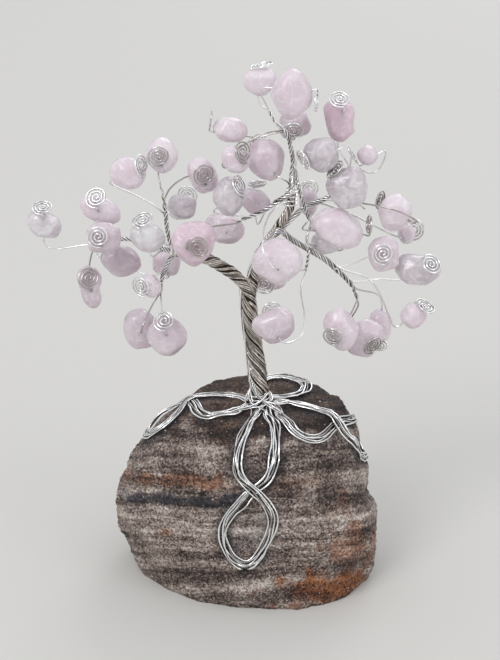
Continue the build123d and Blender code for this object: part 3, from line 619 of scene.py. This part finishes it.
def lay_wires(name, node, points, tree, sockets, wires, first_ring, last_ring, turns, material,
              looseness=0.0):
    """Wires laid along these points, in millimetres, that ride with the node's body."""
    guide = bpy.data.curves.new(name, "CURVE")
    guide.dimensions = "3D"
    spline = guide.splines.new("BEZIER")
    spline.bezier_points.add(len(points) - 1)
    for knot, point in zip(spline.bezier_points, points):
        knot.co = Vector(point[:3]) * MM
        knot.radius = point[3] if len(point) > 3 else 1
        knot.handle_left_type = knot.handle_right_type = "AUTO"
    holder = new_object(name + "_guide", guide)
    laying = holder.modifiers.new("lay", "NODES")
    laying.node_group = tree
    for socket, value in (("Wires", wires), ("First Ring", first_ring * MM), ("Turns", turns),
                          ("Last Ring", last_ring * MM), ("Wire Radius", WIRE_RADIUS),
                          ("Looseness", looseness)):
        laying[sockets[socket]] = value
    piece = baked(holder, name)
    tone_wires(piece.data)
    mark_grooves(piece.data)
    settle(piece, node, material)
    return piece


def winding(start, end, first_radius, last_radius, turns):
    """Points of a wire wound round the line from start to end, a little loosely."""
    start, end = Vector(start), Vector(end)
    turn = (end - start).to_track_quat("Z", "Y")
    points = []
    steps = int(turns * WINDING_STEPS)
    for step in range(steps + 1):
        share = step / steps
        angle = share * turns * 2 * math.pi
        sway = WINDING_SWAY * math.sin(angle * SWAY_PACE)
        radius = first_radius + (last_radius - first_radius) * share + sway
        round_it = turn @ Vector((math.cos(angle), math.sin(angle), 0))
        points.append(start.lerp(end, share) + round_it * radius)
    return points


# Each wire's last colour is its groove colour: painted shade between the wires, with some tarnish
bright_wire = drawn_wire("silvered_wire", "#ffffff", "#bdb8b4", "#38322f", 0.18)
root_wire = drawn_wire("silvered_root_wire", "#ffffff", "#a29d99", "#161312", 0.18)
# The ropes take a darker copy of the silvered wire: partly their duller tarnish, partly painted shade
# for the dark sides of the trunk and limbs
dulled_and_shaded_wire = drawn_wire("dulled_shaded_silvered_wire", "#ebe3d9", "#453a32", "#100c09", 0.20)

for node in roots + branches:
    if node != "root_collar":
        make_wires(node, root_wire if node in roots else bright_wire, loose=node in roots)
tree, sockets = laid_wires_tree(dulled_and_shaded_wire)
for name, node, points, wires, ring, turns, looseness in ROPES:
    rope = lay_wires(name, node, points, tree, sockets, wires, ring, ring, turns, dulled_and_shaded_wire,
                     looseness)
    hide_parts(node)
    inner = ring - INNER_STEP
    fewer = round(wires * inner / ring)
    lay_wires(name + "_inside", node, points, tree, sockets, fewer, inner, inner,
              turns * INNER_TURNS, dulled_and_shaded_wire)
tree, sockets = laid_wires_tree(bright_wire)
for name, node, points, *laying in LOOSE_WIRES:
    lay_wires(name, node, points, tree, sockets, *laying, bright_wire)
collar = lay_wires(
    "foot_winding", "root_collar", winding(*FOOT_WINDING), tree, sockets, 1, 0.0, 0.0, 0.0,
    bright_wire)
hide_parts("root_collar")
for name, node, points, *laying in TAILS:
    lay_wires(name, node, points, tree, sockets, *laying, bright_wire)
for name, node, *wound in BINDINGS:
    lay_wires(name, node, winding(*wound), tree, sockets, 1, 0.0, 0.0, 0.0, bright_wire)

# ---------------------------------------------------------------- the rock

ROCK_GRID = 0.62 * MM
ROCK_SMOOTHING = 7
FOOT_HEIGHT = 0.9 * MM
# In millimetres: how near a root's wire the relief is quietest, over how much it comes back, and
# the height from which soil lies on the rock. The least share of relief is under the wires
QUIET_REACH, QUIET_FADE, LEAST_RELIEF = 0.6, 3.4, 0.12
SOIL_HEIGHT = 43.0

# Rust and dark patches seen on the rock: middle, reach along each axis and strength. Their heights
# follow the layers and are those at the rock's front
FRONT = 24 * MM
RUST = [
    ((24, -24, 5), (14, 14, 6), 1.0), ((30, -20, 17), (9, 14, 7), 0.65),
    ((28, -22, 30), (4, 10, 4), 0.55), ((-19, -20, 36.4), (18, 24, 2.2), 0.7),
    ((12, -24, 36), (12, 12, 3), 0.28), ((-21, -27, 21.5), (2.6, 8, 1.4), 0.7),
    ((8, 24, 33), (16, 8, 6), 0.6), ((-30, 8, 27), (8, 12, 4), 0.35)]
# Dark patches: darker colour in these places, laid into the same mask as the painted shadow along the
# root wires
DARK_PATCHES = [
    ((-17, -20, 31.2), (24, 26, 1.9), 0.95), ((16, -24, 34.2), (9, 12, 1.2), 0.4),
    ((1, -24, 37), (5, 9, 7), 0.45), ((1, -26, 20), (3.5, 9, 4), 0.5),
    ((2, -26, 26), (5, 8, 5), 0.4), ((24, 22, 48), (14, 10, 3), 0.45),
    ((30, -22, 12), (7, 12, 2.0), 0.4), ((-12, 26, 42), (12, 8, 2), 0.6)]


def patch_shares(points, patches, ragged):
    """How strongly each point lies in the patches, with ragged edges."""
    share = np.zeros(len(points))
    level = points + [0, 0, 1] * (points[:, 1:2] + FRONT) * math.tan(DIP)
    for middle, reach, strength in patches:
        off = (level / MM - np.array(middle)) / np.array(reach)
        near = 1.25 - np.linalg.norm(off, axis=1) + ragged * 0.8
        share = np.maximum(share, np.clip(near * 1.6, 0, 1) * strength)
    return share


def make_rock():
    rough = merged_copy("rock", "rough_rock")
    grid = rough.modifiers.new("grid", "REMESH")
    grid.mode = "VOXEL"
    grid.voxel_size = ROCK_GRID
    stone = baked(rough, "gneiss_rock")
    mesh = stone.data
    edges = edges_of(mesh)
    flat = points_of(mesh)
    points = smoothed(flat, edges, ROCK_SMOOTHING)
    place_points(mesh, points)
    normals = normals_of(mesh)

    # The wires that lie on the rock keep their seat: the surface is quieter under them
    wires = np.concatenate([points_of(frame["nodes"][node].data)[::7] for node in roots])
    finder = KDTree(len(wires))
    for number, point in enumerate(wires):
        finder.insert(point, number)
    finder.balance()
    off_wire = np.array([finder.find(point)[2] for point in points])
    free = np.clip((off_wire / MM - QUIET_REACH) / QUIET_FADE, LEAST_RELIEF, 1)

    tilted = points[:, 2] + math.tan(DIP) * points[:, 1] + lumps(points, 26 * MM, 2, 3.1) * 3 * MM
    layers = np.column_stack([points[:, 0] * 0.22, points[:, 1] * 0.22, tilted])
    coarse = lumps(points, 9 * MM, 3, 1.0) * 0.6 * MM
    ledges = np.abs(lumps(layers, 3.0 * MM, 3, 5.0)) * 0.8 * MM
    broken = lumps(points, 1.7 * MM, 3, 8.0) * 0.34 * MM
    height = (coarse - ledges + broken + 0.2 * MM) * free
    height = np.minimum(height, 0.12 * MM + 0.9 * MM * free)
    points = points + normals * height[:, None]
    low, high = (np.array(corner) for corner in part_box("rock"))
    points = np.clip(points, low, high)
    points[flat[:, 2] < FOOT_HEIGHT / 2, 2] = 0
    place_points(mesh, points)

    ragged = lumps(points, 5 * MM, 3, 12.0)
    rust = patch_shares(points, RUST, ragged)
    dark_patch_and_shadow = patch_shares(points, DARK_PATCHES, ragged)
    # Painted shadow: the rock is darkened in a band along each root wire, where the wire's shadow would
    # fall
    wire_shadow = np.exp(-(off_wire / (1.7 * MM)) ** 2) * np.clip(0.6 + ragged * 1.4, 0.1, 0.9)
    soil = np.clip((points[:, 2] / MM - SOIL_HEIGHT + ragged * 4) / 3, 0, 1)
    for name, share in (("rust", rust), ("dark_patch_and_shadow", np.maximum(dark_patch_and_shadow, wire_shadow)), ("soil", soil)):
        set_attribute(mesh, name, share)
    mesh.shade_smooth()
    settle(stone, "rock", banded_gneiss())
    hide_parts("rock")
    return stone


# Mica plates lie in the rock's skin, six-sided as mica splits, and are strewn by a node tree
FLAKES_PER_SQUARE_METRE = 220000
SMALLEST_FLAKE, LARGEST_FLAKE = 0.10 * MM, 0.28 * MM
FLAKE_SEED = 4


def flake_tree(material):
    tree = bpy.data.node_groups.new("strewn_flakes", "GeometryNodeTree")
    sockets = {}
    for name, kind in (("Rock", "NodeSocketGeometry"), ("Density", "NodeSocketFloat"),
                       ("Smallest", "NodeSocketFloat"), ("Largest", "NodeSocketFloat"),
                       ("Seed", "NodeSocketInt")):
        sockets[name] = tree.interface.new_socket(name, in_out="INPUT", socket_type=kind).identifier
    tree.interface.new_socket("Flakes", in_out="OUTPUT", socket_type="NodeSocketGeometry")
    given = add(tree, "NodeGroupInput").outputs
    spots = add(tree, "GeometryNodeDistributePointsOnFaces", {
        "Mesh": given["Rock"], "Density": given["Density"], "Seed": given["Seed"]})
    plate = add(tree, "GeometryNodeMeshCylinder", {"Vertices": 6, "Radius": 1.0, "Depth": 0.35})
    size = add(tree, "FunctionNodeRandomValue", {
        "Min": given["Smallest"], "Max": given["Largest"], "Seed": given["Seed"]}, data_type="FLOAT")
    for wanted, socket in (("Min", "Smallest"), ("Max", "Largest")):
        floats = [s for s in size.inputs if s.name == wanted and s.type == "VALUE" and s.enabled]
        tree.links.new(given[socket], floats[0])
    turned = add(tree, "FunctionNodeRandomValue", {"Seed": given["Seed"]}, data_type="FLOAT_VECTOR")
    lean = [s for s in turned.inputs if s.type == "VECTOR"]
    lean[0].default_value, lean[1].default_value = (-0.5, -0.5, 0), (0.5, 0.5, math.pi)
    tipped = add(tree, "FunctionNodeRotateRotation", {
        "Rotation": spots.outputs["Rotation"], "Rotate By": turned.outputs[0]},
        rotation_space="LOCAL")
    strewn = add(tree, "GeometryNodeInstanceOnPoints", {
        "Points": spots.outputs["Points"], "Instance": plate.outputs["Mesh"],
        "Rotation": tipped.outputs[0], "Scale": [s for s in size.outputs if s.enabled][0]})
    real = add(tree, "GeometryNodeRealizeInstances", {"Geometry": strewn.outputs[0]})
    painted = add(tree, "GeometryNodeSetMaterial", {
        "Geometry": real.outputs[0], "Material": material})
    add(tree, "NodeGroupOutput", {0: painted.outputs[0]})
    return tree, sockets


def make_flakes(stone):
    material = mica()
    tree, sockets = flake_tree(material)
    bed = new_object("flake_bed", stone.data.copy())
    strew = bed.modifiers.new("strew", "NODES")
    strew.node_group = tree
    for name, value in (("Density", float(FLAKES_PER_SQUARE_METRE)), ("Smallest", SMALLEST_FLAKE),
                        ("Largest", LARGEST_FLAKE), ("Seed", FLAKE_SEED)):
        strew[sockets[name]] = value
    flakes = baked(bed, "mica_flakes")
    points = points_of(flakes.data)
    low, high = (np.array(corner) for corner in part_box("rock"))
    place_points(flakes.data, np.clip(points, low, high))
    settle(flakes, "rock", material)


# ---------------------------------------------------------------- the chips

CHIP_ROUNDING = 5
HOLE_RADIUS = 0.30 * MM
HOLE_SIDES = 16
WIDEST_HOLE = 0.75 * MM
# Worn flats of a chip: fewest and most, how deep each cuts as a share of the chip's reach that way,
# and the least that a point faces a flat that wears it
FLATS = 9, 13
FLAT_LEVELS = 0.85, 0.96
LEAST_FACING = 0.05
FLAT_SMOOTHING = 4
DIMPLE_SIZE, DIMPLE_DEPTH = 3.4 * MM, 0.030
# A stone keeps just inside its solid, and a mouth of the hole reads as short as this of its rim
INSIDE = 0.995
MOUTH, MOUTH_ROUNDS = 0.985, 6

CLEAR_CHIPS = {
    "upper_right_chip_2", "upper_right_chip_4", "inner_left_chip_1", "left_rising_chip_4",
    "left_reaching_chip_5", "lower_right_chip_2", "middle_right_chip_2",
    "left_reaching_chip_1"}
DEEP_CHIPS = {"inner_left_chip_4", "upper_right_chip_1"}
# Partly painted shade: these chips take a darker, greyer copy of the milky quartz where they sit in
# shade, over a greyer tone of their own
GREY_SHADED_CHIPS = {
    "left_drooping_chip_1", "hanging_chip_2", "left_drooping_chip_4", "left_drooping_chip_5",
    "left_reaching_chip_3", "crown_leader_chip_3", "left_reaching_chip_4"}

milky = quartz("milky_rose_quartz", "#f4eaf0", "#e4d4dd", "#fdf8fb", 0.10, 0.75, 0.14)
deep = quartz("deep_rose_quartz", "#eddbe4", "#dcc3cf", "#f6eaf1", 0.10, 0.75, 0.14)
greyed_and_shaded = quartz("greyed_shaded_rose_quartz", "#eee2e9", "#d4c5ce", "#f8f1f5", 0.14, 0.70, 0.10)
clear = quartz("clear_rose_quartz", "#fffafd", "#c6bac2", "#ffffff", 0.22, 0.65, 0.03)


def hole_of(tree, mesh):
    """A point on the drilled hole's axis and its direction, from the walls that face each other."""
    between = []
    for face in mesh.polygons:
        start = face.center + face.normal * 0.01 * MM
        hit = tree.ray_cast(start, face.normal, WIDEST_HOLE)[0]
        if hit:
            between.append((face.center + hit) / 2)
    spots = np.array(between)
    middle = spots.mean(0)
    return middle, np.linalg.svd(spots - middle)[2][0]


def tumbled(reach, directions, edges, chance):
    """Radii of a chip with worn flats, none beyond the reach it is given."""
    points = directions * reach[:, None]
    for _ in range(chance.randint(*FLATS)):
        normal = Vector((chance.gauss(0, 1), chance.gauss(0, 1), chance.gauss(0, 1))).normalized()
        facing = directions @ np.array(normal)
        furthest = (points @ np.array(normal)).max()
        level = furthest * chance.uniform(*FLAT_LEVELS)
        flat = np.where(facing > LEAST_FACING, level / np.maximum(facing, LEAST_FACING), np.inf)
        points = directions * np.minimum(np.linalg.norm(points, axis=1), flat)[:, None]
    points = smoothed(points, edges, FLAT_SMOOTHING)
    radii = np.linalg.norm(points, axis=1)
    return np.minimum(radii, reach * INSIDE)


def make_chip(node, number):
    chance = random.Random(number)
    source = frame["nodes"][node].data
    tree = BVHTree.FromPolygons(
        [vertex.co for vertex in source.vertices], [face.vertices for face in source.polygons])
    low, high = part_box(node)
    centre = (low + high) / 2
    far = (high - low).length

    ball = bmesh.new()
    bmesh.ops.create_icosphere(ball, subdivisions=CHIP_ROUNDING, radius=1)
    mesh = bpy.data.meshes.new(node + "_blank")
    ball.to_mesh(mesh)
    ball.free()
    edges = edges_of(mesh)
    directions = points_of(mesh)
    directions /= np.linalg.norm(directions, axis=1)[:, None]
    reach = np.empty(len(directions))
    for index, direction in enumerate(directions):
        way = Vector(direction)
        hit, _, _, gap = tree.ray_cast(centre + way * far, -way)
        reach[index] = far - gap if hit else 0
    # The two mouths of the hole read short; the skin is taken straight across them
    typical = neighbour_mean(reach[:, None], edges)[:, 0]
    for _ in range(MOUTH_ROUNDS):
        reach = np.where(reach < typical * MOUTH, typical, reach)
        typical = neighbour_mean(reach[:, None], edges)[:, 0]
    radii = tumbled(reach, directions, edges, chance)
    points = directions * radii[:, None]
    dimples = lumps(points + np.array(centre), DIMPLE_SIZE, 2, number)
    radii = np.minimum(radii * (1 + DIMPLE_DEPTH * dimples), reach * INSIDE)
    place_points(mesh, directions * radii[:, None] + np.array(centre))
    blank = new_object(node + "_blank", mesh)

    middle, axis = hole_of(tree, source)
    rod = bmesh.new()
    bmesh.ops.create_cone(
        rod, cap_ends=True, segments=HOLE_SIDES, radius1=HOLE_RADIUS, radius2=HOLE_RADIUS,
        depth=3 * far)
    turn = Vector(axis).to_track_quat("Z", "Y").to_matrix().to_4x4()
    rod.transform(Matrix.Translation(Vector(middle)) @ turn)
    drill_mesh = bpy.data.meshes.new("drill")
    rod.to_mesh(drill_mesh)
    rod.free()
    drill = new_object("drill", drill_mesh)
    cut = blank.modifiers.new("hole", "BOOLEAN")
    cut.operation = "DIFFERENCE"
    cut.solver = "EXACT"
    cut.object = drill
    stone = baked(blank, node.replace("_chip_", "_stone_"))
    bpy.data.objects.remove(drill)
    stone.data.shade_smooth()
    stone.data.set_sharp_from_angle(angle=math.radians(50))
    finish = milky
    for group, other in ((CLEAR_CHIPS, clear), (DEEP_CHIPS, deep), (GREY_SHADED_CHIPS, greyed_and_shaded)):
        finish = other if node in group else finish
    settle(stone, node, finish)
    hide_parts(node)


# ---------------------------------------------------------------- floor and lamps


FLOOR_REACH = 4


def make_floor():
    reach = FLOOR_REACH
    mesh = bpy.data.meshes.new("floor")
    mesh.from_pydata(
        [(-reach, -reach, 0), (reach, -reach, 0), (reach, reach, 0), (-reach, reach, 0)], [],
        [(0, 1, 2, 3)])
    floor = new_object("floor", mesh)
    material, tree, _ = new_material("pale_paper")
    finish_material(tree, {"Base Color": linear("#d3d1cd"), "Roughness": 0.9})
    mesh.materials.append(material)


def lamp(name, place, size, power):
    light = bpy.data.lights.new(name, "AREA")
    light.shape = "DISK"
    light.size = size
    light.energy = power
    holder = new_object(name, light)
    holder.location = Vector(place)
    holder.rotation_euler = (LOOKED_AT - holder.location).to_track_quat("-Z", "Y").to_euler()


def make_world(overhead, sides, strength):
    """A plain room, paler overhead than at the sides, for bright and dark lines on the wires."""
    world = bpy.data.worlds.new("room")
    bpy.context.scene.world = world
    world.use_nodes = True
    tree = world.node_tree
    tree.nodes.clear()
    generated = add(tree, "ShaderNodeTexCoord").outputs["Generated"]
    way = add(tree, "ShaderNodeSeparateXYZ", {"Vector": generated})
    colour = add(tree, "ShaderNodeValToRGB", {"Fac": way.outputs["Z"]}, stops=[
        (0.05, sides), (0.65, overhead)])
    sky = add(tree, "ShaderNodeBackground", {"Color": colour.outputs[0], "Strength": strength})
    add(tree, "ShaderNodeOutputWorld", {"Surface": sky.outputs[0]})


stone = make_rock()
make_flakes(stone)
for number, node in enumerate(chips):
    make_chip(node, number)
make_floor()
make_world("#fafcff", "#c3c6c9", 0.84)
lamp("window", (-0.90, -1.05, 1.35), 0.90, 10.0)
lamp("fill", (1.30, -0.95, 0.60), 1.00, 3.2)
lamp("behind", (0.45, 1.30, 1.00), 0.90, 4.0)
